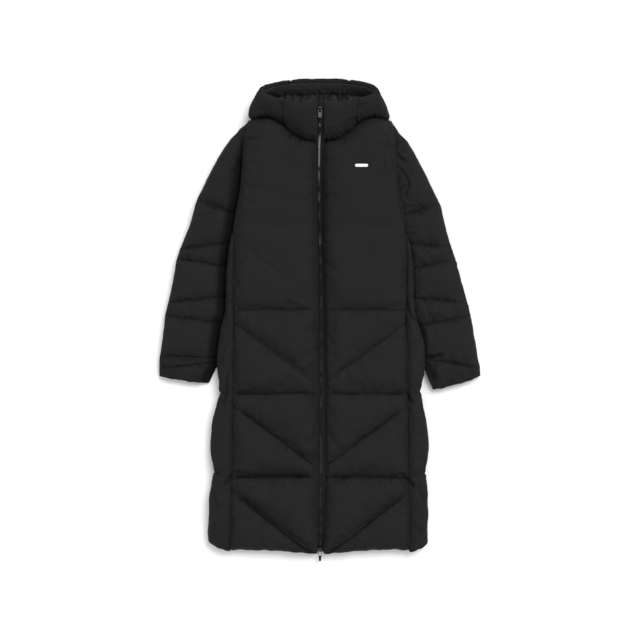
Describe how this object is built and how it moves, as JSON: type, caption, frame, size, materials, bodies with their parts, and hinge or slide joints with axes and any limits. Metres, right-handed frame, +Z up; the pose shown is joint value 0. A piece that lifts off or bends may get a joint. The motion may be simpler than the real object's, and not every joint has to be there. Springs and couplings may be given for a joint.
{
  "type": "long hooded puffer coat",
  "caption": "Ankle-length padded coat with raglan sleeves, attached hood and a two-way zip, closed and laid flat on its back.",
  "frame": {"origin": "centre of the coat's outline, on the surface that it lies on", "axes": "+Y from hem to hood, +X towards the wearer's left, +Z up from the surface"},
  "size_m": [0.875, 1.3096, 0.0986],
  "materials": {
    "shell": "matte black woven polyester",
    "lining": "slightly shiny black lining",
    "zip_tape": "matte black twill tape",
    "zip_metal": "gunmetal plating",
    "reflective_film": "plain white heat-pressed film"
  },
  "bodies": {
    "coat": {"back_panel": "shell", "front_left": "shell", "front_right": "shell", "side_panel_left": "shell", "side_panel_right": "shell", "sleeve_left": "shell", "sleeve_right": "shell", "collar_left": "shell", "collar_right": "shell", "hood_side_left": "shell", "hood_side_right": "shell", "hood_centre": "shell", "hood_facing": "shell", "hood_lining": "lining", "hood_crown_folded": "lining", "zip_tape_left": "zip_tape", "zip_tape_right": "zip_tape", "zip_slider_top": "zip_metal", "zip_slider_bottom": "zip_metal", "chest_patch": "reflective_film"},
    "pull_top": {"zip_pull_top": "zip_metal"},
    "pull_bottom": {"zip_pull_bottom": "zip_metal"}
  },
  "joints": [
    {"name": "pull_top_swing", "type": "hinge", "parent": "coat", "child": "pull_top", "pos_m": [0.0005, 0.56493, 0.0953], "axis": [-1, 0, 0], "range_deg": [0, 150]},
    {"name": "pull_bottom_swing", "type": "hinge", "parent": "coat", "child": "pull_bottom", "pos_m": [0.0005, -0.62012, 0.03293], "axis": [-1, 0, 0], "range_deg": [0, 150]}
  ]
}
